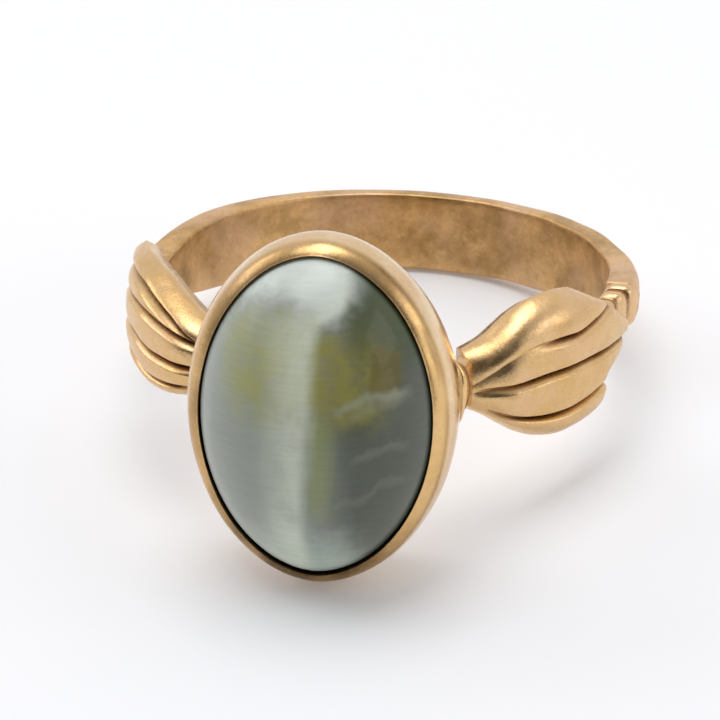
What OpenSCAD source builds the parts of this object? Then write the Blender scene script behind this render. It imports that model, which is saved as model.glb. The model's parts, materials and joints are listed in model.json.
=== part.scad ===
// Cocktail ring: a closed-back oval bezel holds a high-domed cat's-eye cabochon
// between two grooved leaf shoulders on a tapering band.
// Each piece is drawn with the finger bore along Z and the head towards -Y, then
// tipped back about the bore centre to the pose in which the ring rests on a table,
// on the lower rim of the bezel and the lower back edge of the band.

/* [Band] */
// Diameter of the finger bore
bore_d = 18.2; // [16:0.1:21]
// Width of the band along the finger
band_w = 3.3; // [2.8:0.1:3.8]
// Thickness of the band at the back
band_t_back = 0.9; // [0.6:0.05:1.2]
// Thickness of the band at the sides
band_t_side = 1.4; // [1.3:0.05:1.8]
// Rise of the crowned outer face over its edges
band_crown = 0.18; // [0.05:0.01:0.3]
// Angle of the band's ends in front of the widest line
band_end = 1; // [0.5:0.5:2]
// Half width of the band at its ends
end_half_w = 0.85; // [0.7:0.05:1]
// How far up the finger the right-hand end is bent
right_end_lift = 0.8; // [0:0.1:0.8]
// Length over which the band narrows to its ends
end_taper_l = 5.6; // [4:0.2:8]

/* [Collars] */
// Angle that each beaded collar takes up round the bore
collar_span = 11; // [10:0.5:11.5]
// Height of the collar's core along the finger
collar_w = 1.3; // [1:0.1:1.5]
// Height of its first bead along the finger
bead_w = 1.7; // [1.6:0.1:2]
// Angle that one bead takes up
bead_span = 2.6; // [2:0.1:3]

/* [Shoulders] */
// Angle at which a leaf's tip begins, beyond the collar's beads
leaf_start = 6.5; // [6.5:0.5:8]
// Angle at which a leaf ends, beside the head
leaf_end = 61; // [56:1:63]
// Greatest half height of a leaf along the finger
leaf_half_h = 3.05; // [2.4:0.05:3.4]
// Half height of a leaf where it narrows to its neck
leaf_neck_h = 1.15; // [0.9:0.05:1.5]
// Thickness of a leaf at its thickest
leaf_t = 2; // [1.8:0.05:2.2]
// Depth of the grooves between the lobes
groove_depth = 0.42; // [0.2:0.02:0.6]
// Half width of a groove
groove_half_w = 0.3; // [0.2:0.02:0.4]
// Spacing of the grooves along the finger
groove_pitch = 1.35; // [1.1:0.05:1.5]

/* [Head] */
// Width of the stone's visible opening
opening_w = 9.1; // [8:0.1:10]
// Height of the stone's visible opening
opening_h = 13.2; // [12:0.1:14]
// How far the oval's ends sharpen to a point, 1 for an ellipse
oval_point = 1.07; // [1:0.01:1.1]
// Distance of the bezel's lip in front of the bore centre
lip_reach = 14.1; // [13:0.1:15]
// Depth of the bezel from lip to back
bezel_depth = 3.7; // [3.3:0.1:4]
// Thickness of the bezel strip
bezel_t = 0.32; // [0.25:0.01:0.4]
// How much lower the bezel's back is than its lip at each end
bezel_end_drop = 1.2; // [0.4:0.1:1.5]
// Height of the stone's dome over its girdle
dome_h = 4.2; // [3:0.1:5]

/* [Hidden] */

gold = "#c89a5a";
solder_gold = "#d8b070";
stone_green = "#8f9a86";
cement_grey = "#5c584c";

bore_r = bore_d / 2;
back_r = bore_r + band_t_back;
side_r = bore_r + band_t_side;
band_r = (side_r ^ 2 / back_r + back_r) / 2;
band_shift = band_r - back_r;
crown_r = (band_w / 2) ^ 2 / (2 * band_crown) + band_crown / 2;

// The bezel's outer profile: depth behind the lip, then distance outside the opening
WALL = [[0, 0.04], [0.1, 0.22], [0.3, 0.48], [0.6, 0.64], [1.1, 0.75], [1.6, 0.78],
        [2.3, 0.7], [3, 0.56], [bezel_depth, 0.36]];
girdle_depth = 1.2;
ledge_top = girdle_depth + 0.25;
ledge_t = 0.4;
ledge_w = 0.9;
plate_t = 0.6;
oval_steps = 72;
dome_steps = 14;

// Tilt at rest, from the bezel's lowest ring to the band's lower back edge
rest_depth = 1.6;
rest_out = 0.705;
rest_tilt = atan((opening_h / 2 + rest_out - band_w / 2)
            / (lip_reach - rest_depth + bore_r + band_t_back - band_crown));

leaf_steps = 24;
leaf_widest = 0.55;
leaf_tip_h = 0.5;
leaf_edge_t = 0.6;
leaf_shift = 4.7;
leaf_r = bore_r + leaf_t - leaf_shift;
leaf_crown_r = (leaf_half_h ^ 2 + (leaf_t - leaf_edge_t) ^ 2) / (2 * (leaf_t - leaf_edge_t));
groove_offset = -0.1;
// A groove stops this far short of the leaf's ends, and more in the outer two
groove_stop = 1;
outer_groove_stop = 4;
groove_top = 0.5;
// Turns about the dome's own centre, towards the neck and the collar, per degree of reach
groove_front = 1.6;
groove_back = 1.8;
collar_core_t = 0.75;
bead_t = 1.25;
bead_step = 0.2;

module at_rest() rotate([-rest_tilt, 0, 0]) children();

module mirrored_left() mirror([1, 0, 0]) children();

// ---- Band ---------------------------------------------------------------

module bore() cylinder(r = bore_r, h = 4 * band_w, center = true, $fn = 180);

// Section of the band: a square-sided strip with a crowned outer face
module band_section()
    intersection() {
        translate([bore_r / 2, -band_w / 2]) square([band_r - bore_r / 2, band_w]);
        translate([band_r - crown_r, 0]) circle(r = crown_r, $fn = 180);
    }

// Half space in front of a plane through the bore axis, turned by an angle
module in_front_of(angle)
    rotate([0, 0, -angle]) translate([0, -2 * band_r, -2 * band_w])
        cube([2 * band_r, 2 * band_r, 4 * band_w]);

// All that lies past a slanting plane, above it (up = 1) or below it (up = -1): the plane
// meets the band's edge at the taper's length and comes in to end_h beside the collar
module past_taper(up, end_h)
    if (end_h < band_w / 2 - 0.05)
        translate([0, 0, up * end_h]) rotate([up * atan((band_w / 2 - end_h) / end_taper_l), 0, 0])
            translate([0, -band_r, up > 0 ? 0 : -2 * band_w])
                cube([2 * band_r, 3 * band_r, 2 * band_w]);

// What is cut away at one end of the band
module end_cut(lift) {
    in_front_of(band_end);
    past_taper(1, end_half_w + lift);
    past_taper(-1, end_half_w - lift);
}

module shank()
    color(gold) at_rest() difference() {
        translate([0, -band_shift, 0]) rotate_extrude($fn = 180) band_section();
        bore();
        end_cut(right_end_lift);
        mirrored_left() end_cut(0);
    }

// ---- Collars: a core and two beads between the band and a leaf -------------

module collar_arc(from, span, height, thickness, into_bore = 0)
    rotate([0, 0, -from - span]) rotate_extrude(angle = span, $fn = 180)
        translate([bore_r - into_bore, -height / 2]) square([thickness + into_bore, height]);

module collar(lift)
    translate([0, 0, lift]) {
        collar_arc(band_end, collar_span, collar_w, collar_core_t);
        for (i = [0, 1])
            collar_arc(band_end + 1.5 * i * bead_span, bead_span, bead_w - i * bead_step,
                       bead_t - i * bead_step);
    }

module right_collar() color(gold) at_rest() collar(right_end_lift);

module left_collar() color(gold) at_rest() mirrored_left() collar(0);

// ---- Leaf shoulders ------------------------------------------------------

// Half height of a leaf: u runs from 0 at the collar's tip to 1 at the neck
function leaf_half(u) =
    u < leaf_widest
        ? max(leaf_tip_h, leaf_half_h * sin(90 * u / leaf_widest) ^ 1.1)
        : let (t = ((u - leaf_widest) / (1 - leaf_widest)) ^ 1.35)
          leaf_neck_h + (leaf_half_h - leaf_neck_h) * (1 + cos(180 * t)) / 2;

// Outline of a leaf, flat, across the radius through its middle
leaf_mid = (leaf_start + leaf_end) / 2;
LEAF_OUTLINE = [for (side = [1, -1], i = [0:leaf_steps])
    let (u = side > 0 ? i / leaf_steps : 1 - i / leaf_steps,
         angle = leaf_start + u * (leaf_end - leaf_start))
    [(bore_r + 1) * sin(leaf_mid - angle), side * leaf_half(u)]];

module at_leaf_middle() rotate([0, 0, -leaf_mid]) children();

// Domed strip round the finger, thickest at the leaf's middle
module leaf_swell()
    at_leaf_middle() translate([leaf_shift, 0, 0])
        rotate([0, 0, -90]) rotate_extrude(angle = 180, $fn = 180)
            intersection() {
                translate([leaf_r - leaf_crown_r, 0]) circle(r = leaf_crown_r, $fn = 120);
                translate([leaf_r - leaf_t - 0.6, -band_w]) square([leaf_t + 1, 2 * band_w]);
            }

// V-shaped grooves between the lobes, at constant height round the finger
module leaf_grooves()
    for (k = [-1, 0, 1]) {
        height = groove_offset + k * groove_pitch;
        reach = leaf_mid - leaf_start - groove_stop - outer_groove_stop * abs(k);
        surface_r = leaf_r - leaf_crown_r + sqrt(leaf_crown_r ^ 2 - height ^ 2);
        at_leaf_middle() translate([leaf_shift, 0, height])
            rotate([0, 0, -groove_front * reach])
                rotate_extrude(angle = (groove_front + groove_back) * reach, $fn = 120)
                    translate([surface_r, 0])
                        polygon([[-groove_depth, 0], [groove_top, -2 * groove_half_w],
                                 [groove_top, 2 * groove_half_w]]);
    }

// The leaf's tip lies over the collar, and the rest reaches the finger
module leaf()
    difference() {
        intersection() {
            leaf_swell();
            at_leaf_middle() rotate([90, 0, 90])
                linear_extrude(2 * side_r) polygon(LEAF_OUTLINE);
        }
        bore();
        leaf_grooves();
        collar_arc(band_end - 2, collar_span + 2, 2 * band_w, collar_core_t, 1);
    }

module right_shoulder() color(gold) at_rest() leaf();

module left_shoulder() color(gold) at_rest() mirrored_left() leaf();

// ---- Head: bezel, seat, back, cement and stone -----------------------------

// Skin a closed solid over rings of points, each ring with the same count
function skin_faces(rings, count) = concat(
    [for (i = [0:rings - 2], j = [0:count - 1], half = [0, 1])
        let (a = i * count, b = a + count, k = (j + 1) % count)
        half == 0 ? [a + j, a + k, b + k] : [a + j, b + k, b + j]],
    [[for (j = [count - 1:-1:0]) j]],
    [[for (j = [0:count - 1]) (rings - 1) * count + j]]);

function signed_power(x, p) = sign(x) * abs(x) ^ p;

// Outer profile at a depth behind the lip
function wall_out(depth) = lookup(depth, WALL);

// An oval of the head at a depth behind the lip and a distance outside the opening
function oval(depth, out) =
    let (drop = bezel_end_drop * (max(0, depth - 0.9) / (bezel_depth - 0.9)) ^ 2,
         w = opening_w / 2 + out, h = opening_h / 2 + out - drop)
    [for (i = [0:oval_steps - 1]) let (t = 360 * i / oval_steps)
        [w * signed_power(cos(t), oval_point), depth - lip_reach, h * sin(t)]];

// A closed solid over ovals given as [depth, out]
module oval_solid(sections)
    polyhedron([for (s = sections) each oval(s[0], s[1])],
               skin_faces(len(sections), oval_steps), convexity = 4);

// A closed ring over a closed section given as [depth, out]
module oval_ring(section) {
    n = len(section);
    points = [for (s = section) each oval(s[0], s[1])];
    faces = [for (i = [0:n - 1], j = [0:oval_steps - 1], half = [0, 1])
        let (a = i * oval_steps, b = ((i + 1) % n) * oval_steps, k = (j + 1) % oval_steps)
        half == 0 ? [a + j, a + k, b + k] : [a + j, b + k, b + j]];
    polyhedron(points, faces, convexity = 6);
}

// The wall's inner face, one strip thickness inside its outer face
function wall_in(depth) = wall_out(depth) - bezel_t;

module bezel_wall()
    color(gold) at_rest() oval_ring(concat(
        WALL,
        [for (i = [len(WALL) - 1:-1:4]) [WALL[i][0], WALL[i][1] - bezel_t]],
        [[0.45, 0.2], [0.16, 0]]));

// Straight-sided step inside the wall that the stone sits on
module bearing_ledge()
    color(gold) at_rest() oval_ring([
        [ledge_top, wall_in(ledge_top) - 0.01],
        [1.5, wall_in(1.5) - 0.01],
        [ledge_top + ledge_t, wall_in(ledge_top + ledge_t) - 0.01],
        [ledge_top + ledge_t, wall_in(ledge_top) - ledge_w],
        [ledge_top, wall_in(ledge_top) - ledge_w]]);

module back_plate()
    color(gold) at_rest() oval_solid([
        [bezel_depth - plate_t, wall_in(bezel_depth - plate_t) - 0.01],
        [bezel_depth, wall_in(bezel_depth) - 0.01]]);

// Jeweller's cement between the back plate and the stone
module cement_bed()
    color(cement_grey) at_rest() oval_solid([
        [ledge_top, wall_in(ledge_top) - ledge_w - 0.02],
        [bezel_depth - plate_t, wall_in(ledge_top) - ledge_w - 0.02]]);

// High dome over a short bevel, with a flat underside
module cabochon() {
    girdle_out = wall_in(girdle_depth) - 0.02;
    inward = opening_w / 2 + girdle_out;
    color(stone_green) at_rest() oval_solid(concat(
        [for (i = [1:dome_steps]) let (rise = cos(90 * i / (dome_steps + 1)))
            [girdle_depth - dome_h * rise, girdle_out - inward * (1 - sqrt(1 - rise ^ 2))]],
        [[girdle_depth, girdle_out], [ledge_top - 0.01, girdle_out - 0.12]]));
}

// ---- Necks and solder joints between the leaves and the head ---------------

// Where a neck meets the back of the bezel: inner edge, face, width and half height
neck_foot_x = opening_w / 2 - 0.85;
neck_foot_y = bezel_depth - lip_reach;
neck_foot_w = 1.1;
neck_foot_h = leaf_neck_h + 0.1;
slab = 0.1;
// A solder joint's width and height over the neck, at its foot and at its top
solder_foot = [0.3, 0.12];
solder_top = [0.08, 0.45];

module neck_slab(angle, half_h, thickness)
    rotate([0, 0, -angle]) translate([bore_r - 0.2, -slab, -half_h])
        cube([thickness + 0.2, slab, 2 * half_h]);

module neck_foot(grow, rise)
    translate([neck_foot_x - grow, neck_foot_y, -neck_foot_h - grow])
        cube([neck_foot_w + 2 * grow, rise, 2 * (neck_foot_h + grow)]);

module neck_body()
    hull() {
        neck_slab(leaf_end, leaf_neck_h, leaf_t * 0.7);
        neck_foot(0, slab);
    }

module neck()
    difference() {
        neck_body();
        bore();
    }

// A bead of solder that flares from the neck on to the bezel's back
module solder_joint()
    difference() {
        hull() {
            neck_foot(solder_foot[0], solder_foot[1]);
            neck_foot(solder_top[0], solder_top[1]);
        }
        neck_body();
    }

module right_neck() color(gold) at_rest() neck();

module left_neck() color(gold) at_rest() mirrored_left() neck();

module right_solder_joint() color(solder_gold) at_rest() solder_joint();

module left_solder_joint() color(solder_gold) at_rest() mirrored_left() solder_joint();

// ---- Assembly --------------------------------------------------------------

shank();
right_collar();
left_collar();
right_shoulder();
left_shoulder();
right_neck();
left_neck();
right_solder_joint();
left_solder_joint();
bezel_wall();
bearing_ledge();
back_plate();
cement_bed();
cabochon();
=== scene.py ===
"""Cocktail ring: visual model of the band, leaf shoulders, oval bezel and cat's-eye stone.

Shapes are worked out in the ring frame, in millimetres: the finger axis is Z, the head
points to -Y and X runs across the ring. place() turns them into the row frame, in metres,
tipped back by the angle at which the ring rests on a table.
"""
import json
from math import atan2, cos, pi, radians, sin, sqrt

import bpy
import numpy as np
from mathutils import Matrix, Vector


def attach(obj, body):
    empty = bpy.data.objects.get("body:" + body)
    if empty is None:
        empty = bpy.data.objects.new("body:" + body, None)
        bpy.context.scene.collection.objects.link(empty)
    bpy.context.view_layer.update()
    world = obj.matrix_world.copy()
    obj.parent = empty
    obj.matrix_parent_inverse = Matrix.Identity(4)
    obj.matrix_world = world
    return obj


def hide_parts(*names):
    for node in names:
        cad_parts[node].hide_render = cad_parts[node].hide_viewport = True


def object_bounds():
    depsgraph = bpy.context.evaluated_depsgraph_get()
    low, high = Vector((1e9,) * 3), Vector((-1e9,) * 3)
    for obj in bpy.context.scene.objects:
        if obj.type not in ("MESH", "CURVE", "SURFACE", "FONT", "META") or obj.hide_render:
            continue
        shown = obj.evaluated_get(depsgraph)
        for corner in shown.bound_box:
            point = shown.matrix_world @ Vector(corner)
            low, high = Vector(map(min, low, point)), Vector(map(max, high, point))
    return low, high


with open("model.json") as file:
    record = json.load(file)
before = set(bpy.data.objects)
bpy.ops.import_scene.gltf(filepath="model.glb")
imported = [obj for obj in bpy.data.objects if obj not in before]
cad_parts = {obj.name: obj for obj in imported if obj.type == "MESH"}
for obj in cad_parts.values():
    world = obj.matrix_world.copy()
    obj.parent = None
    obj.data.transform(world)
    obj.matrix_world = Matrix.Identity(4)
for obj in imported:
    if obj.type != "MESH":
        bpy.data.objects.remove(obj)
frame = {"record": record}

cad_low, cad_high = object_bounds()

MM = 0.001

# ---- Driving sizes, in millimetres and degrees; the bore and the tilt come from the frame ---

BORE = next(m for m in frame["record"]["mounts"] if m["name"] == "finger_bore")
TILT = atan2(BORE["axis"][1], BORE["axis"][2])
BORE_R = BORE["dims"]["r_mm"]
BAND_HALF_W = 1.65
BAND_T_BACK = 0.9
BAND_T_SIDE = 1.4
BAND_END = 1.15

LIP_REACH = 14.1
BEZEL_DEPTH = 3.7
BEZEL_T = 0.32
OPENING_W = 4.65
OPENING_H = 6.6
OVAL_POINT = 1.07
GIRDLE_DEPTH = 1.2
DOME_H = 4.2


# ---- Mesh helpers ------------------------------------------------------------------------

def place(points):
    """Ring-frame points in millimetres, as row-frame points in metres."""
    p = np.asarray(points, float) * MM
    x, y, z = p[..., 0], p[..., 1], p[..., 2]
    return np.stack([x, y * cos(TILT) + z * sin(TILT), z * cos(TILT) - y * sin(TILT)], -1)


def curve(table, at):
    """Smooth curve through (where, value) pairs, flat at its local extremes."""
    xs, ys = (np.array(c, float) for c in zip(*table))
    steps = np.diff(xs)
    rise = np.diff(ys) / steps
    slope = np.zeros_like(xs)
    for i in range(1, len(xs) - 1):
        if rise[i - 1] * rise[i] > 0:
            slope[i] = 2 * rise[i - 1] * rise[i] / (rise[i - 1] + rise[i])
    slope[0], slope[-1] = rise[0], rise[-1]
    at = np.clip(at, xs[0], xs[-1])
    i = np.clip(np.searchsorted(xs, at, side="right") - 1, 0, len(xs) - 2)
    t = (at - xs[i]) / steps[i]
    return ((2 * t**3 - 3 * t**2 + 1) * ys[i] + (t**3 - 2 * t**2 + t) * steps[i] * slope[i]
            + (3 * t**2 - 2 * t**3) * ys[i + 1] + (t**3 - t**2) * steps[i] * slope[i + 1])


def ripple(points, scale, seed):
    """Smooth wander between -1 and 1 over points in millimetres: a sum of seeded waves."""
    rng = np.random.default_rng(seed)
    total = np.zeros(points.shape[:-1])
    for _ in range(7):
        way = rng.normal(size=3)
        way *= rng.uniform(0.6, 1.7) / (np.linalg.norm(way) * scale)
        total += np.sin(points @ way * 2 * pi + rng.uniform(0, 2 * pi))
    return total / 4


def new_piece(name, points, faces, replaces, material, marks=None):
    """A smooth-shaded piece on the ring's one body, standing for a CAD node."""
    mesh = bpy.data.meshes.new(name)
    mesh.from_pydata(place(points).tolist(), [], faces)
    mesh.validate()
    mesh.shade_smooth()
    if marks is not None:
        layer = mesh.attributes.new("tarnish", "FLOAT", "POINT")
        layer.data.foreach_set("value", np.asarray(marks, np.float32))
    piece = bpy.data.objects.new(name, mesh)
    bpy.context.scene.collection.objects.link(piece)
    mesh.materials.append(material)
    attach(piece, "root")
    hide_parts(*replaces)
    return piece


def skin(rings, close_path=False, caps=True):
    """Faces over equal rings of points; rings close on themselves, and so may the path."""
    count, size = rings.shape[:2]
    last = count if close_path else count - 1
    faces = []
    for i in range(last):
        a, b = i * size, (i + 1) % count * size
        for j in range(size):
            k = (j + 1) % size
            faces.append((a + j, a + k, b + k, b + j))
    if caps and not close_path:
        faces.append(tuple(reversed(range(size))))
        faces.append(tuple((count - 1) * size + j for j in range(size)))
    return faces


def skinned(name, rings, replaces, material, close_path=False, flip=False, marks=None):
    """A piece skinned over rings of points."""
    faces = skin(rings, close_path)
    if flip:
        faces = [tuple(reversed(f)) for f in faces]
    flat = rings.reshape(-1, 3)
    return new_piece(name, flat, faces, replaces, material,
                     None if marks is None else marks.reshape(-1))


def round_box(half_w, half_h, power, count):
    """A rounded rectangle about the origin, as (across, up) points."""
    t = np.linspace(0, 2 * pi, count, endpoint=False)
    c, s = np.cos(t), np.sin(t)
    return np.stack([half_w * np.sign(c) * np.abs(c) ** (2 / power),
                     half_h * np.sign(s) * np.abs(s) ** (2 / power)], -1)


# ---- Materials -----------------------------------------------------------------------------

def srgb(*levels):
    """Linear colour from 0 to 255 display levels."""
    unit = [v / 255 for v in levels]
    return [v / 12.92 if v <= 0.04045 else ((v + 0.055) / 1.055) ** 2.4 for v in unit] + [1.0]


class Nodes:
    """A short way to write a material's node tree."""

    def __init__(self, name):
        self.material = bpy.data.materials.new(name)
        self.material.use_nodes = True
        self.tree = self.material.node_tree
        self.shader = self.tree.nodes["Principled BSDF"]

    def add(self, kind, inputs=None, **settings):
        node = self.tree.nodes.new(kind)
        for key, value in settings.items():
            setattr(node, key, value)
        for key, value in (inputs or {}).items():
            self.feed(node, key, value)
        return node

    def feed(self, node, key, value):
        if isinstance(value, bpy.types.NodeSocket):
            self.tree.links.new(value, node.inputs[key])
        else:
            node.inputs[key].default_value = value

    def ring_coords(self, per_mm=1.0):
        """Object coordinates in the ring frame, in millimetres times per_mm."""
        coords = self.add("ShaderNodeTexCoord").outputs["Object"]
        turned = self.add("ShaderNodeVectorRotate", {"Vector": coords, "Angle": TILT},
                          rotation_type="X_AXIS")
        scaled = self.add("ShaderNodeVectorMath", {0: turned.outputs[0]}, operation="SCALE")
        scaled.inputs["Scale"].default_value = per_mm / MM
        return scaled.outputs[0]

    def stretched(self, coords, scale, turn=(0, 0, 0)):
        return self.add("ShaderNodeMapping", {"Vector": coords, "Scale": scale,
                                              "Rotation": turn}).outputs[0]

    def noise(self, coords, scale, detail=3.0, rough=0.55):
        return self.add("ShaderNodeTexNoise", {"Vector": coords, "Scale": scale,
                                               "Detail": detail, "Roughness": rough}).outputs[0]

    def ramp(self, factor, stops, ease="LINEAR"):
        node = self.add("ShaderNodeValToRGB", {"Fac": factor})
        node.color_ramp.interpolation = ease
        elements = node.color_ramp.elements
        while len(elements) < len(stops):
            elements.new(0.5)
        for element, (where, colour) in zip(elements, stops):
            element.position = where
            element.color = colour if isinstance(colour, (list, tuple)) else (colour,) * 3 + (1,)
        return node.outputs[0]

    def mix(self, factor, a, b, blend="MIX"):
        node = self.add("ShaderNodeMix", data_type="RGBA", blend_type=blend)
        for key, value in (("Factor", factor), ("A", a), ("B", b)):
            socket = next(s for s in node.inputs if s.name == key and s.enabled)
            if isinstance(value, bpy.types.NodeSocket):
                self.tree.links.new(value, socket)
            else:
                socket.default_value = value
        return next(s for s in node.outputs if s.enabled)

    def maths(self, operation, a, b=0.0, clamp=False):
        return self.add("ShaderNodeMath", {0: a, 1: b}, operation=operation,
                        use_clamp=clamp).outputs[0]

    def span(self, value, low, high, to_low=0.0, to_high=1.0, smooth=True):
        node = self.add("ShaderNodeMapRange", {"Value": value, "From Min": low, "From Max": high,
                                               "To Min": to_low, "To Max": to_high})
        node.interpolation_type = "SMOOTHSTEP" if smooth else "LINEAR"
        return node.outputs[0]

    def bump(self, height, strength, distance, under=None):
        inputs = {"Height": height, "Strength": strength, "Distance": distance}
        if under is not None:
            inputs["Normal"] = under
        return self.add("ShaderNodeBump", inputs).outputs[0]


GOLD_LIGHT = (0.76, 0.51, 0.25, 1)
GOLD_DEEP = (0.64, 0.38, 0.13, 1)
GOLD_ROSE = (0.79, 0.52, 0.31, 1)
# Near-black for the marked places: tarnished metal with painted shade in grooves, creases, the bezel's lip
# and the band's inside
GOLD_TARNISH_AND_SHADE = (0.10, 0.045, 0.015, 1)
BAND_GOLD = (0.80, 0.50, 0.22, 1)
BAND_BROWN = (0.40, 0.24, 0.09, 1)
WALL_GOLD = (0.86, 0.57, 0.26, 1)
# Paler gold behind the lip: painted reflection of the bright tent on the bezel's outer wall
WALL_PAINTED_REFLECTION = (0.87, 0.67, 0.43, 1)


def gold(name, rough, blotch, scratch_way, depth=1.0, light=GOLD_LIGHT, deep=GOLD_DEEP,
         painted_reflection_behind_lip=None):
    """Worn gold: patches of paler, deeper and rosier metal, fine scratches, pits, and darkening where the
    pieces are marked: tarnished metal with painted shade.

    The last argument, where given, is a paler colour behind the bezel's lip: a painted reflection on the
    bezel's outer wall.
    """
    n = Nodes(name)
    mm = n.ring_coords()
    # Painted reflection: paler metal behind the bezel's lip
    if painted_reflection_behind_lip:
        y = n.add("ShaderNodeSeparateXYZ", {0: mm}).outputs["Y"]
        light = n.mix(n.span(y, 0.45 - LIP_REACH, 0.8 - LIP_REACH), light, painted_reflection_behind_lip)
    patches = n.noise(mm, 0.5, 5, 0.65)
    rosy = n.noise(mm, 0.33, 3, 0.6)
    colour = n.mix(n.span(patches, 0.38, 0.64, 0, blotch), light, deep)
    colour = n.mix(n.span(rosy, 0.46, 0.64, 0, 0.6), colour, GOLD_ROSE)
    speckle = n.noise(mm, 5.5, 4, 0.7)
    colour = n.mix(n.span(speckle, 0.35, 0.65, 0, 0.22), colour, deep)
    # Darkening from the pieces' marks, tarnished metal with painted shade, which are also made rougher
    shade_and_grime = n.add("ShaderNodeAttribute", attribute_name="tarnish").outputs["Fac"]
    grain = n.noise(mm, 6.0, 4, 0.7)
    shade_and_dirt = n.maths("MULTIPLY", shade_and_grime, n.span(grain, 0.2, 0.55, 0.6, 1.0), clamp=True)
    colour = n.mix(shade_and_dirt, colour, GOLD_TARNISH_AND_SHADE)
    n.feed(n.shader, "Base Color", colour)
    n.feed(n.shader, "Metallic", 1.0)
    lines = n.noise(n.stretched(mm, scratch_way), 6.0, 5, 0.75)
    wear = n.noise(mm, 2.2, 5, 0.7)
    roughness = n.maths("ADD", n.span(wear, 0.3, 0.72, rough * 0.75, rough * 1.3),
                        n.maths("MULTIPLY", shade_and_dirt, 0.3), clamp=True)
    n.feed(n.shader, "Roughness", roughness)
    pits = n.span(n.noise(mm, 4.5, 3, 0.8), 0.7, 0.76)
    height = n.maths("SUBTRACT", lines, n.maths("MULTIPLY", pits, 0.6))
    dents = n.bump(n.noise(mm, 0.9, 3, 0.5), 0.3 * depth, 0.12 * MM)
    n.feed(n.shader, "Normal", n.bump(height, 0.35 * depth, 0.02 * MM, dents))
    return n.material


def cement():
    """Grey jeweller's cement with fine grit."""
    n = Nodes("jewellers_cement")
    mm = n.ring_coords()
    grit = n.noise(mm, 6.0, 4, 0.7)
    greys = [(0.3, srgb(88, 82, 72)), (0.7, srgb(122, 116, 104))]
    n.feed(n.shader, "Base Color", n.ramp(grit, greys))
    n.feed(n.shader, "Roughness", 0.85)
    n.feed(n.shader, "Normal", n.bump(grit, 0.5, 0.05 * MM))
    return n.material


# Colours of the stone by display level, and how far each reaches; the palest two are painted light: a
# highlight at the dome's top and the chatoyant band's sheen
STONE_LEFT = srgb(166, 173, 163)
STONE_RIGHT = srgb(96, 102, 90)
STONE_FOOT = srgb(186, 200, 186)
# Painted highlight at the top of the dome
STONE_PAINTED_HIGHLIGHT = srgb(232, 240, 232)
STONE_MOSS = srgb(74, 84, 54)
OLIVE_PALE = srgb(184, 184, 108)
OLIVE_DEEP = srgb(160, 154, 82)
OLIVE_STREAK = srgb(156, 166, 108)
# Painted sheen: the milky chatoyant band
CHATOYANT_SHEEN = srgb(236, 243, 222)
INCLUSION = srgb(112, 98, 44)
VEIN = srgb(176, 182, 160)


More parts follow.
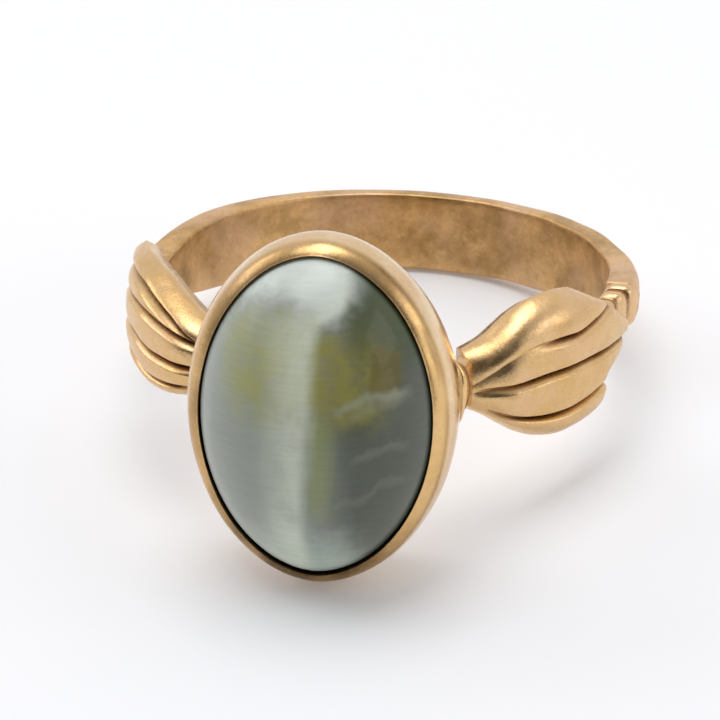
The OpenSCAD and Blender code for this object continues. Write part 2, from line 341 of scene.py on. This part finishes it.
def cats_eye():
    """Grey-green chatoyant stone: olive patches and pale veins, with a painted sheen for the milky chatoyant
    band up its length and a painted highlight at its top.
    """
    n = Nodes("cats_eye_stone")
    mm = n.ring_coords()
    axes = n.add("ShaderNodeSeparateXYZ", {0: mm})
    x, z = axes.outputs["X"], axes.outputs["Z"]
    warp = n.noise(n.stretched(mm, (1.0, 0.5, 0.3)), 0.55, 3, 0.55)
    cloud = n.noise(mm, 0.6, 4, 0.6)
    fine = n.noise(n.stretched(mm, (0.45, 0.45, 1.6)), 1.5, 5, 0.65)
    across = n.maths("ADD", x, n.span(warp, 0.3, 0.7, -0.22, 0.22, smooth=False))
    along = n.maths("ADD", z, n.span(cloud, 0.3, 0.7, -0.6, 0.6, smooth=False))

    def both(a, b, share=1.0):
        return n.maths("MULTIPLY", n.maths("MULTIPLY", a, b), share, clamp=True)

    def patch(at, half, soft, wander):
        """1 inside a soft ellipse about (x, z), fading to 0 outside it."""
        dx = n.maths("DIVIDE", n.maths("SUBTRACT", across, at[0]), half[0])
        dz = n.maths("DIVIDE", n.maths("SUBTRACT", along, at[1]), half[1])
        far = n.maths("ADD", n.maths("MULTIPLY", dx, dx), n.maths("MULTIPLY", dz, dz))
        far = n.maths("ADD", far, n.span(wander, 0.3, 0.7, -0.35, 0.35, smooth=False))
        return n.span(far, 1 - soft, 1 + soft, 1.0, 0.0)

    colour = n.mix(n.span(across, -0.6, 2.4), STONE_LEFT, STONE_RIGHT)
    colour = n.mix(both(n.span(along, -3.2, -6.0), n.span(across, 3.0, 0.5)), colour, STONE_FOOT)
    zone = both(n.span(along, -0.2, 2.0), n.span(along, 5.2, 3.5))
    mottle = n.span(n.noise(mm, 0.8, 4, 0.65), 0.34, 0.62, 0.5, 1.0)
    pale = both(n.span(across, -4.0, -2.4), n.span(across, 1.4, 0.2), 0.75)
    colour = n.mix(both(zone, both(pale, mottle)), colour, OLIVE_PALE)
    right = both(n.span(across, -0.1, 0.7), n.span(across, 3.9, 2.2))
    colour = n.mix(both(zone, both(right, mottle), 0.9), colour, OLIVE_DEEP)
    colour = n.mix(n.maths("MULTIPLY", patch((3.3, 4.7), (1.8, 1.8), 0.9, cloud), 0.85),
                   colour, STONE_MOSS)
    streak = both(n.span(across, 0.0, 0.6), n.span(across, 1.7, 0.6))
    colour = n.mix(both(streak, both(n.span(along, -4.0, -1.8), n.span(along, 1.6, 0.4)), 0.75),
                   colour, OLIVE_STREAK)
    # The chatoyant band is a painted sheen; its left side fades and its right side ends at a line that leans
    # with height
    edge = n.maths("ADD", n.maths("SUBTRACT", across, n.maths("MULTIPLY", z, 0.045)),
                   n.span(z, 4.2, 5.2, 0.0, -1.0))
    band = both(n.span(edge, -2.3, -0.2), n.span(edge, 0.62, -0.15))
    colour = n.mix(both(band, n.span(cloud, 0.3, 0.6, 0.65, 1.0), 0.78), colour, CHATOYANT_SHEEN)
    # Painted highlight: a pale patch at the top of the dome, except on its right side
    crown = both(n.span(along, 4.4, 6.0), n.span(across, 2.4, 0.6), 0.85)
    colour = n.mix(crown, colour, STONE_PAINTED_HIGHLIGHT)
    inclusion = patch((2.95, 2.4), (0.62, 0.85), 0.8, cloud)
    colour = n.mix(n.maths("MULTIPLY", inclusion, 0.75), colour, INCLUSION)
    # Pale veins: thin where a wandering height meets the stone's own
    for height, slope, start, share in ((1.25, 0.12, 0.9, 0.5), (0.7, 0.2, 1.6, 0.25),
                                        (-1.0, 0.16, 1.6, 0.18), (-2.9, 0.30, 0.8, 0.12)):
        line = n.maths("SUBTRACT", z, n.maths("ADD", n.maths("MULTIPLY", x, slope), height))
        line = n.maths("ADD", line, n.span(warp, 0.3, 0.7, -0.5, 0.5, smooth=False))
        thin = n.span(n.maths("ABSOLUTE", line), 0.34, 0.0)
        reach = both(n.span(x, start, start + 0.7), n.span(x, 4.1, 3.4))
        colour = n.mix(both(thin, reach, share), colour, VEIN)
    fibres = n.noise(n.stretched(mm, (0.5, 0.5, 5.0)), 1.6, 4, 0.6)
    shade = n.ramp(fibres, [(0.3, 0.82), (0.7, 1.0)])
    colour = n.mix(0.55, colour, shade, "MULTIPLY")
    n.feed(n.shader, "Base Color", colour)
    n.feed(n.shader, "Roughness", 0.32)
    n.feed(n.shader, "IOR", 1.5)
    n.feed(n.shader, "Specular IOR Level", 0.22)
    n.feed(n.shader, "Coat Weight", 0.25)
    n.feed(n.shader, "Coat Roughness", 0.03)
    n.feed(n.shader, "Subsurface Weight", 0.08)
    n.feed(n.shader, "Subsurface Radius", (0.5 * MM, 0.55 * MM, 0.45 * MM))
    n.feed(n.shader, "Subsurface Scale", 1.0)
    return n.material


# ---- Band ------------------------------------------------------------------------------------

def around(radius, angle, z):
    """Point at an angle in front of +X, measured towards the head."""
    return np.stack([radius * np.cos(angle), -radius * np.sin(angle), z], -1)


def band_outer(angle):
    """Outer radius of the band: its circle is set forward, so that it thins to the back."""
    back = BORE_R + BAND_T_BACK
    side = BORE_R + BAND_T_SIDE
    radius = (side**2 / back + back) / 2
    shift = radius - back
    return shift * np.sin(angle) + np.sqrt(radius**2 - (shift * np.cos(angle)) ** 2)


# Half width of the band by distance round from its ends, in degrees
BAND_TAPER = [(0, 0.86), (11, 1.1), (26, 1.5), (41, 1.65), (92, 1.65)]
# How far each end has been bent up the finger
END_LIFT = {1: 0.78, -1: 0.0}
LIFT_SPAN = 32.0


def band_lift(angle, side):
    """Rise of the band's middle line, at degrees in front of the side's widest line."""
    near = np.clip((angle + LIFT_SPAN) / LIFT_SPAN, 0, 1)
    return END_LIFT[side] * near**2 * (3 - 2 * near)


def shank(material):
    """Band round the back of the finger, narrowing to its two ends."""
    stations, count = 260, 72
    rings, marks = [], []
    for degrees in np.linspace(BAND_END, -180 - BAND_END, stations):
        side = 1 if degrees > -90 else -1
        from_end = min(BAND_END - degrees, 180 + BAND_END + degrees)
        half_w = curve(BAND_TAPER, from_end)
        r_out = float(band_outer(radians(degrees)))
        box = round_box(0.5, 1.0, 8, count)
        thick = (r_out - BORE_R) * min(1.0, 0.82 + 0.18 * sqrt(max(0.0, from_end) / 9))
        crown = 0.16 * (box[:, 1] ** 2) * (box[:, 0] * 2).clip(0, 1)
        radius = BORE_R + thick / 2 + box[:, 0] * thick - crown
        z = box[:, 1] * half_w + band_lift(-from_end, side)
        rings.append(around(radius, radians(degrees), z))
        # Painted shade over the band's inner face, less towards its edges; the blotches applied below also
        # stand for tarnished metal
        inside = (box[:, 0] < -0.3) * 0.26 * (1 - 0.8 * np.abs(box[:, 1]) ** 6)
        marks.append(inside)
    rings = np.array(rings)
    rings += ripple(rings, 3.2, 3)[..., None] * np.array([0, 0, 0.02])
    marks = np.array(marks) * (0.55 + 0.75 * ripple(rings, 2.4, 21).clip(-0.6, 1))
    return skinned("shank", rings, ["shank"], material, marks=marks.clip(0, 1))


# ---- Collars ----------------------------------------------------------------------------------

COLLAR_SPAN = (1.0, 12.0)
# Half height and thickness of the collar at angles in front of the band's end
COLLAR_H = [(1.0, 0.84), (1.5, 0.88), (3.0, 0.88), (4.0, 0.8), (4.5, 0.62), (5.0, 0.62),
            (5.5, 0.76), (7.2, 0.78), (8.4, 0.7), (9.0, 0.6), (12.0, 0.55)]
COLLAR_T = [(1.0, 1.3), (1.5, 1.36), (3.0, 1.3), (4.0, 1.16), (4.5, 0.92), (5.0, 0.92),
            (5.5, 1.1), (7.2, 1.06), (8.4, 0.92), (9.0, 0.84), (12.0, 0.74)]
BEAD_CREASE, STEM_CREASE = 4.75, 9.2


def collar(name, side, material):
    """Two beads and a stem, darkened in the crease between the beads and in the one behind them: painted
    shade with tarnished metal.
    """
    stations, count = 100, 48
    rings, marks = [], []
    for a in np.linspace(*COLLAR_SPAN, stations):
        half_h, thick = curve(COLLAR_H, a), curve(COLLAR_T, a)
        box = round_box(thick / 2, half_h, 3.4, count)
        rings.append(around(BORE_R + thick / 2 + box[:, 0], radians(a),
                            box[:, 1] + END_LIFT[side]))
        marks.append(np.full(count, max(0.0, 1 - abs(a - BEAD_CREASE) / 0.6,
                                        0.8 - abs(a - STEM_CREASE) / 0.9)))
    rings = np.array(rings)
    rings[..., 0] *= side
    return skinned(name, rings, [name], material, flip=side > 0,
                   marks=np.array(marks))


# ---- Leaf shoulders ------------------------------------------------------------------------------

NECK_ANGLE = 61.0
LEAF_EDGE_T = 0.62
# Height of a leaf's back as a share of its front's, and the clearance over the collar's stem
LEAF_BACK_SHARE = 0.88
COLLAR_CORE_T = 0.72
# How far a groove's two flanks reach, above and below its deepest line
GROOVE_RISE = 0.13
GROOVE_FALL = 0.34


class Leaf:
    """Tables that shape one shoulder, by angle in degrees in front of the side's widest line.

    upper and lower are the edges' heights and thick the thickness over the finger. A row of
    the leaf has a share v from -1, the lower edge, to 1, the upper edge, and tips gives the
    angle at which each row ends. Each groove has its row and its depth along the leaf.
    """

    def __init__(self, upper, lower, tips, thick, grooves, swells):
        self.upper, self.lower, self.tips, self.thick = upper, lower, tips, thick
        self.grooves, self.swells = grooves, swells


LEAVES = {
    1: Leaf(
        upper=[(3, 1.9), (15, 2.35), (24, 2.75), (30, 2.98), (37, 3.1), (43, 3.0), (48, 2.66),
               (52, 2.18), (56, 1.66), (61, 1.25)],
        lower=[(3, -2.0), (15, -2.4), (24, -2.75), (30, -2.9), (36, -2.98), (42, -2.82),
               (47, -2.5), (52, -2.0), (56, -1.55), (61, -1.15)],
        tips=[(-1, 29), (-0.88, 23), (-0.76, 20.5), (-0.56, 20), (-0.44, 20.5), (-0.3, 19.5),
              (-0.16, 15), (0.02, 9), (0.2, 6.5), (0.45, 11), (0.7, 17), (0.86, 24), (1, 31)],
        thick=[(3, 1.3), (15, 1.5), (27, 1.78), (38, 1.95), (50, 1.92), (57, 1.6), (61, 1.38)],
        grooves=[
            ([(3, 0.76), (18, 0.75), (27, 0.58), (36, 0.46), (47, 0.46), (52, 0.42), (56, 0.26),
              (61, -0.1)],
             [(3, 0), (17, 0.2), (22, 0.4), (36, 0.4), (42, 0.18), (47, 0.03), (61, 0)]),
            ([(3, 0.1), (11, 0.08), (27, 0.075), (39, 0.04), (53, -0.09), (61, -0.3)],
             [(3, 0.1), (10, 0.34), (25, 0.42), (46, 0.36), (55, 0.16), (60, 0)]),
            ([(3, -0.4), (23, -0.44), (30, -0.5), (39, -0.58), (52, -0.73), (61, -0.8)],
             [(3, 0.2), (20, 0.34), (27, 0.56), (38, 0.5), (50, 0.26), (57, 0)])],
        swells=[0.12, 0.05, 0.06, 0.12]),
    -1: Leaf(
        upper=[(3, 2.3), (13, 2.6), (25, 2.75), (34, 2.65), (43, 2.2), (48, 1.88), (52, 1.62),
               (56, 1.42), (61, 1.22)],
        lower=[(3, -1.5), (15, -1.65), (24, -1.85), (33, -2.1), (40, -2.28), (47, -2.1),
               (54, -1.7), (61, -1.15)],
        tips=[(-1, 31), (-0.85, 27), (-0.6, 23), (-0.3, 19), (0, 15), (0.3, 12), (0.6, 10.5),
              (0.85, 11), (1, 13)],
        thick=[(3, 1.0), (12, 1.15), (22, 1.5), (31, 1.8), (40, 1.95), (50, 1.9), (57, 1.6),
               (61, 1.38)],
        grooves=[
            ([(3, 0.72), (15, 0.76), (34, 0.8), (47, 0.74), (55, 0.55), (61, 0.2)],
             [(3, 0.05), (20, 0.16), (34, 0.3), (50, 0.34), (57, 0.2), (61, 0)]),
            ([(3, 0.4), (15, 0.44), (28, 0.5), (40, 0.52), (50, 0.5), (57, 0.42), (61, 0.15)],
             [(3, 0.1), (16, 0.22), (34, 0.4), (52, 0.42), (58, 0.2), (61, 0)]),
            ([(3, 0.05), (20, 0.06), (34, 0.03), (43, -0.12), (55, -0.24), (61, -0.4)],
             [(3, 0.1), (14, 0.3), (34, 0.42), (52, 0.4), (60, 0)]),
            ([(3, -0.35), (20, -0.38), (34, -0.47), (41, -0.6), (49, -0.7), (61, -0.8)],
             [(3, 0.1), (18, 0.3), (32, 0.46), (46, 0.42), (55, 0)])],
        swells=[0.16, 0.08, 0.08, 0.08, 0.1]),
}


def leaf_radius(leaf, angle, v):
    """Outer radius of a leaf at angles in degrees and rows from -1 to 1, and its darkening along the grooves:
    painted shade with tarnished metal.
    """
    crown = (1 - np.abs(v) ** 3.2).clip(0) ** 0.6
    rounded = 1 - np.exp(-(angle - curve(leaf.tips, v)).clip(0) / 1.1)
    thick = curve(leaf.thick, angle) - LEAF_EDGE_T
    half = np.where(v > 0, curve(leaf.upper, angle), -curve(leaf.lower, angle))
    rows = [curve(line, angle) for line, _ in leaf.grooves]
    rows = [np.ones_like(v)] + rows + [-np.ones_like(v)]
    swell = np.zeros_like(v)
    for top, foot, rise in zip(rows, rows[1:], leaf.swells):
        share = ((v - foot) / (top - foot)).clip(0, 1)
        swell += rise * (1 - np.abs(2 * share - 1) ** 2.2) * (share > 0) * (share < 1)
    cut, shade_and_grime = np.zeros_like(v), np.zeros_like(v)
    for row, (_, depths) in zip(rows[1:], leaf.grooves):
        off = (v - row) * half
        depth = curve(depths, angle)
        shape = np.where(off > 0, 1 - off / GROOVE_RISE, (1 + off / GROOVE_FALL)).clip(0)
        shape = np.where(off > 0, shape * shape * (3 - 2 * shape), shape**1.7)
        cut = np.maximum(cut, depth * shape)
        # Painted shade, with tarnished metal, along each groove, darker where the groove is deeper
        shade_and_grime = np.maximum(shade_and_grime, (depth / 0.35).clip(0, 1)
                           * (1 - np.abs(off + 0.05) / 0.13).clip(0, 1) ** 0.6)
    fade = ((NECK_ANGLE - angle) / 8).clip(0, 1) * (0.3 + 0.7 * rounded)
    radius = BORE_R + LEAF_EDGE_T + thick * crown * (0.4 + 0.6 * rounded) + swell * fade - cut
    return radius, shade_and_grime


def shoulder(name, side, material):
    """Leaf of domed lobes; its back lies on the finger, and clears the collar under its tip."""
    leaf = LEAVES[side]
    along, rows = 190, 260
    v = np.sin(np.linspace(-pi / 2, pi / 2, rows)) * 0.3 + np.linspace(-1, 1, rows) * 0.7
    tt, vv = np.meshgrid(np.linspace(0, 1, along), v, indexing="ij")
    angle = NECK_ANGLE + (curve(leaf.tips, vv) - NECK_ANGLE) * tt
    z = np.where(vv > 0, vv * curve(leaf.upper, angle), -vv * curve(leaf.lower, angle))
    radius, marks = leaf_radius(leaf, angle, vv)
    face = around(radius, np.radians(angle), z)
    face += ripple(face, 2.2, 5 if side > 0 else 8)[..., None] * 0.02
    inner_angle = angle[:, ::-1]
    inner_r = np.where(inner_angle < COLLAR_SPAN[1], BORE_R + COLLAR_CORE_T, BORE_R)
    back = around(inner_r, np.radians(inner_angle), z[:, ::-1] * LEAF_BACK_SHARE)
    rings = np.concatenate([face, back], axis=1)
    all_marks = np.concatenate([marks, np.zeros_like(marks)], axis=1)
    rings[..., 0] *= side
    return skinned(name, rings, [name], material, flip=side < 0, marks=all_marks)


# ---- Head ------------------------------------------------------------------------------------------

# Outer profile of the bezel: depth behind the lip, then distance outside the opening
WALL = [(0.0, 0.03), (0.03, 0.07), (0.09, 0.16), (0.19, 0.28), (0.32, 0.4), (0.46, 0.49),
        (0.7, 0.58), (1.1, 0.68), (1.6, 0.73), (2.1, 0.7), (2.7, 0.6), (3.3, 0.44), (3.6, 0.35),
        (3.68, 0.3), (3.7, 0.22)]
END_DROP = 1.2
# The wall stands out less at the oval's two ends, by this share
END_SHARE = 0.87
# The head sits this far off the ring's middle, across and along the finger
HEAD_SHIFT = np.array([-0.04, 0.0, -0.05])


def oval(depth, out, count, end_drop=END_DROP):
    """Oval of the head at a depth behind the lip and a distance outside the opening."""
    t = np.linspace(0, 2 * pi, count, endpoint=False)
    drop = end_drop * (max(0, depth - 0.9) / (BEZEL_DEPTH - 0.9)) ** 2
    w, h = OPENING_W + out, OPENING_H + END_SHARE * out - drop
    across = np.sign(np.cos(t)) * np.abs(np.cos(t)) ** OVAL_POINT
    return np.stack([w * across, np.full_like(t, depth - LIP_REACH), h * np.sin(t)], -1)


def wall_out(depth):
    return float(curve(WALL, depth))


def bezel_wall(material):
    """Oval strip with a rolled lip: down the outside, across the back and up the inside."""
    count, steps = 320, 4
    depths = [d0 + (d1 - d0) * step / steps
              for (d0, _), (d1, _) in zip(WALL, WALL[1:]) for step in range(steps)]
    section = [(d, wall_out(d)) for d in depths] + [WALL[-1]]
    inner = [(d, wall_out(d) - BEZEL_T) for d in (3.6, 3.0, 2.3, 1.8, 1.3, 0.9, 0.6)]
    lip = [(0.42, 0.16), (0.3, 0.06), (0.16, 0.01), (0.06, 0.0), (0.02, 0.015)]
    faces_out = len(section)
    section += inner + lip
    rings = np.array([oval(d, o, count) for d, o in section])
    wobble = ripple(rings, 5.0, 11)
    rings[..., 0] *= 1 + 0.0028 * wobble
    rings[..., 2] *= 1 + 0.002 * wobble
    # Painted shade and painted dark reflection on the lip: darker on its left side, at its foot, over its top
    # and in a patch at its upper right, and a painted shade line where it meets the wall, mostly on the right
    depth = np.array([d for d, _ in section])[:, None]
    t = np.linspace(0, 2 * pi, count, endpoint=False)[None, :]
    lip_shade = 0.12 + 0.4 * (-np.cos(t)).clip(0) + 0.9 * (-np.sin(t)).clip(0) ** 3
    lip_shade = lip_shade + 0.3 * np.sin(t).clip(0) ** 2
    lip_shade = lip_shade + 0.4 * np.exp(-((t - radians(55)) / radians(14)) ** 2)
    line = 0.45 * np.exp(-((depth - 0.5) / 0.12) ** 2) * (0.3 + 0.7 * np.cos(t)).clip(0)
    marks = lip_shade * (1 - depth / 0.75).clip(0) ** 0.5 + line
    marks = (marks * (0.85 + 0.3 * ripple(rings, 1.8, 31))).clip(0, 0.85)
    # Painted shade in the gap round the stone: the wall's inside and the lip's inner slope fully darkened,
    # the lip's very edge a little less
    marks[faces_out:-3] = 1.0
    marks[-3:] = 0.7
    return skinned("bezel_wall", rings + HEAD_SHIFT, ["bezel_wall"], material,
                   close_path=True, flip=True, marks=marks)


def back_plate(material):
    """Plate set just inside the wall's back edge."""
    count = 200
    deep = BEZEL_DEPTH
    edge = wall_out(deep - 0.3) - BEZEL_T - 0.02
    section = [(deep - 0.5, edge), (deep - 0.1, edge), (deep - 0.03, edge - 0.03)]
    section += [(deep - 0.02 - 0.05 * k / 8, edge - 0.08 - k * 0.5) for k in range(9)]
    rings = np.array([oval(d, o, count) for d, o in section])
    return skinned("back_plate", rings + HEAD_SHIFT, ["back_plate"], material, flip=True)


# How far the stone's widest ring passes the opening, and its shift across and along the finger
GIRDLE_OUT = 0.1
STONE_SHIFT = (0.0, 0.03)


def cabochon(material):
    """High dome whose edge passes a hair inside the lip, set slightly up."""
    count, rows = 240, 90
    wide = OPENING_W + GIRDLE_OUT
    heights = [sin(pi / 2 * (1 - (k + 0.35) / rows)) for k in range(rows)]
    section = [(GIRDLE_DEPTH - DOME_H * rise, sqrt(1 - rise**2)) for rise in heights]
    section += [(GIRDLE_DEPTH, 1.0), (GIRDLE_DEPTH + 0.1, 0.995), (GIRDLE_DEPTH + 0.24, 0.97)]
    rings = []
    for depth, share in section:
        ring = oval(depth, 0.0, count, end_drop=0)
        ring[:, 0] = ring[:, 0] * share * wide / OPENING_W + STONE_SHIFT[0]
        ring[:, 2] = ring[:, 2] * share * (OPENING_H + GIRDLE_OUT) / OPENING_H + STONE_SHIFT[1]
        rings.append(ring)
    return skinned("cabochon", np.array(rings) + HEAD_SHIFT, ["cabochon"],
                   material, flip=True)


# ---- Necks and solder ------------------------------------------------------------------------------

# Middle of the neck's thickness over the finger, where it leaves the leaf
NECK_MID = 0.72


def neck(name, side, material):
    """From the leaf's end the neck runs on to the bezel's back and flares where it meets it."""
    start = around(BORE_R + NECK_MID, radians(NECK_ANGLE - 1.5), 0.0)
    end = np.array([OPENING_W - 0.12, BEZEL_DEPTH - LIP_REACH - 0.12, 0.0])
    stations, count = 40, 56
    rings, marks = [], []
    for s in np.linspace(0, 1, stations):
        centre = start * (1 - s) + end * s
        half_t = curve([(0, 0.68), (0.3, 0.6), (0.6, 0.52), (0.85, 0.56), (1, 0.66)], s)
        half_h = curve([(0, 1.1), (0.25, 1.04), (0.55, 1.0), (0.8, 1.14), (1, 1.4)], s)
        box = round_box(half_t, half_h, 2.8, count)
        turn = radians(NECK_ANGLE) * (1 - s) + radians(8) * s
        rings.append(np.stack([centre[0] + box[:, 0] * cos(turn),
                               centre[1] - box[:, 0] * sin(turn), box[:, 1]], -1))
        # Painted shade: a dark V-shaped line across the neck that draws its notch
        notch = 0.3 + 0.22 * np.abs(box[:, 1] / half_h)
        marks.append((1 - np.abs(s - notch) / 0.09).clip(0, 1) * 0.9)
    rings = np.array(rings)
    rings[..., 0] *= side
    return skinned(name, rings, [name], material, flip=side > 0,
                   marks=np.array(marks))


def solder(name, side, material):
    """A rounded bead of solder that has run round the neck's foot."""
    centre = np.array([OPENING_W - 0.14, BEZEL_DEPTH - LIP_REACH + 0.1, 0.0])
    around_foot, around_bead = 72, 20
    rings = []
    for t in np.linspace(0, 2 * pi, around_foot, endpoint=False):
        c, s = cos(t), sin(t)
        foot = np.array([0.56 * np.sign(c) * abs(c) ** 0.75, 1.26 * np.sign(s) * abs(s) ** 0.75])
        out = np.array([c, s]) / np.hypot(c, s)
        bead = 0.2 + 0.035 * sin(3 * t + 1) + 0.02 * sin(5 * t)
        ring = []
        for u in np.linspace(0, 2 * pi, around_bead, endpoint=False):
            reach = foot + out * bead * cos(u)
            ring.append([centre[0] + reach[0], centre[1] + bead * 0.9 * sin(u), reach[1]])
        rings.append(ring)
    rings = np.array(rings)
    rings[..., 0] *= side
    return skinned(name, rings, [name], material, close_path=True, flip=side < 0)


# ---- Build ---------------------------------------------------------------------------------------------

leaf_gold = gold("leaf_gold", 0.27, 0.5, (1.0, 1.0, 5.0))
band_gold = gold("band_gold", 0.40, 0.75, (2.2, 2.2, 0.3), 1.3, BAND_GOLD, BAND_BROWN)
wall_gold = gold("bezel_gold", 0.17, 0.3, (1.0, 4.0, 1.0), 0.6, WALL_GOLD,
                 painted_reflection_behind_lip=WALL_PAINTED_REFLECTION)
solder_gold = gold("solder_gold", 0.2, 0.3, (1, 1, 1), 0.8, WALL_GOLD)
stone = cats_eye()
grey_cement = cement()

shank(band_gold)
for word, side in (("right", 1), ("left", -1)):
    collar(word + "_collar", side, leaf_gold)
    shoulder(word + "_shoulder", side, leaf_gold)
    neck(word + "_neck", side, leaf_gold)
    solder(word + "_solder_joint", side, solder_gold)
bezel_wall(wall_gold)
back_plate(wall_gold)
cabochon(stone)
for node, material in (("bearing_ledge", wall_gold), ("cement_bed", grey_cement)):
    mesh = bpy.data.objects[node].data
    mesh.materials.clear()
    mesh.materials.append(material)


# ---- Stage, light and camera -------------------------------------------------------------------------------

FLOOR_FRONT, FLOOR_REACH = -0.08, 2.0


def floor(level):
    """White board, faintly lit from below, that ends between the ring and the camera."""
    mesh = bpy.data.meshes.new("floor")
    corners = [(-FLOOR_REACH, FLOOR_FRONT, level), (FLOOR_REACH, FLOOR_FRONT, level),
               (FLOOR_REACH, FLOOR_REACH, level), (-FLOOR_REACH, FLOOR_REACH, level)]
    mesh.from_pydata(corners, [], [(0, 1, 2, 3)])
    board = bpy.data.objects.new("floor", mesh)
    bpy.context.scene.collection.objects.link(board)
    n = Nodes("white_board")
    n.feed(n.shader, "Base Color", (0.86, 0.865, 0.885, 1))
    n.feed(n.shader, "Emission Color", (1.0, 1.0, 1.0, 1))
    n.feed(n.shader, "Emission Strength", 0.12)
    n.feed(n.shader, "Roughness", 0.9)
    n.feed(n.shader, "Specular IOR Level", 0.1)
    mesh.materials.append(n.material)


def area_light(name, place_at, aim, size, power, colour=(1, 1, 1)):
    data = bpy.data.lights.new(name, "AREA")
    data.shape = "RECTANGLE"
    data.size, data.size_y = size
    data.energy = power
    data.color = colour
    lamp = bpy.data.objects.new(name, data)
    lamp.location = place_at
    lamp.rotation_euler = (Vector(aim) - Vector(place_at)).to_track_quat("-Z", "Y").to_euler()
    bpy.context.scene.collection.objects.link(lamp)


def sky():
    """White tent, darker on the camera's side."""
    world = bpy.data.worlds.new("tent")
    world.use_nodes = True
    tree = world.node_tree
    shade = tree.nodes["Background"]
    way = tree.nodes.new("ShaderNodeTexCoord")
    split = tree.nodes.new("ShaderNodeSeparateXYZ")
    ramp = tree.nodes.new("ShaderNodeValToRGB")
    step = tree.nodes.new("ShaderNodeMapRange")
    step.inputs["From Min"].default_value = -1.0
    step.inputs["From Max"].default_value = 1.0
    tree.links.new(way.outputs["Generated"], split.inputs[0])
    tree.links.new(split.outputs["Y"], step.inputs["Value"])
    tree.links.new(step.outputs[0], ramp.inputs["Fac"])
    stops = ramp.color_ramp.elements
    stops[0].position, stops[0].color = 0.15, (0.10, 0.10, 0.10, 1)
    stops[1].position, stops[1].color = 0.70, (1.0, 1.0, 1.03, 1)
    tree.links.new(ramp.outputs[0], shade.inputs["Color"])
    shade.inputs["Strength"].default_value = 0.88
    bpy.context.scene.world = world


# The camera's direction and roll in the ring frame, its distance and what it frames, in mm
CAM_AZIMUTH = radians(10.55)
CAM_LIFT = radians(19.0)
CAM_ROLL = radians(1.0)
CAM_DISTANCE = 280.0
VIEW_WIDTH = 29.42
VIEW_RIGHT, VIEW_UP = -0.993, -2.382


def camera():
    back = Vector((sin(CAM_AZIMUTH) * cos(CAM_LIFT), -cos(CAM_AZIMUTH) * cos(CAM_LIFT),
                   sin(CAM_LIFT)))
    level = Vector((cos(CAM_AZIMUTH), sin(CAM_AZIMUTH), 0))
    rise = back.cross(level)
    right = level * cos(CAM_ROLL) + rise * sin(CAM_ROLL)
    to_row = Matrix.Rotation(-TILT, 3, "X")
    axes = Matrix((to_row @ right, to_row @ back.cross(right), to_row @ back)).transposed()
    data = bpy.data.cameras.new("camera")
    data.sensor_width = 36
    data.lens = data.sensor_width * CAM_DISTANCE / VIEW_WIDTH
    data.shift_x, data.shift_y = VIEW_RIGHT / VIEW_WIDTH, VIEW_UP / VIEW_WIDTH
    data.clip_start = 0.01
    eye = bpy.data.objects.new("camera", data)
    eye.location = (to_row @ back) * CAM_DISTANCE * MM
    eye.rotation_euler = axes.to_euler()
    bpy.context.scene.collection.objects.link(eye)
    bpy.context.scene.camera = eye


floor(cad_low.z)
sky()
area_light("top_box", (-0.04, 0.03, 0.35), (0, 0, 0), (0.3, 0.2), 0.52)
area_light("right_box", (0.28, -0.03, 0.15), (0, 0, 0), (0.18, 0.12), 0.09)
area_light("right_card", (0.28, -0.12, 0.04), (0, 0, 0), (0.12, 0.08), 0.03)
area_light("left_box", (-0.27, 0.04, 0.16), (0, 0, 0), (0.18, 0.12), 0.11)
area_light("lamp", (-0.027, -0.184, 0.296), (0, 0, 0), (0.012, 0.012), 0.007)
camera()
bpy.context.scene.view_settings.view_transform = "Standard"
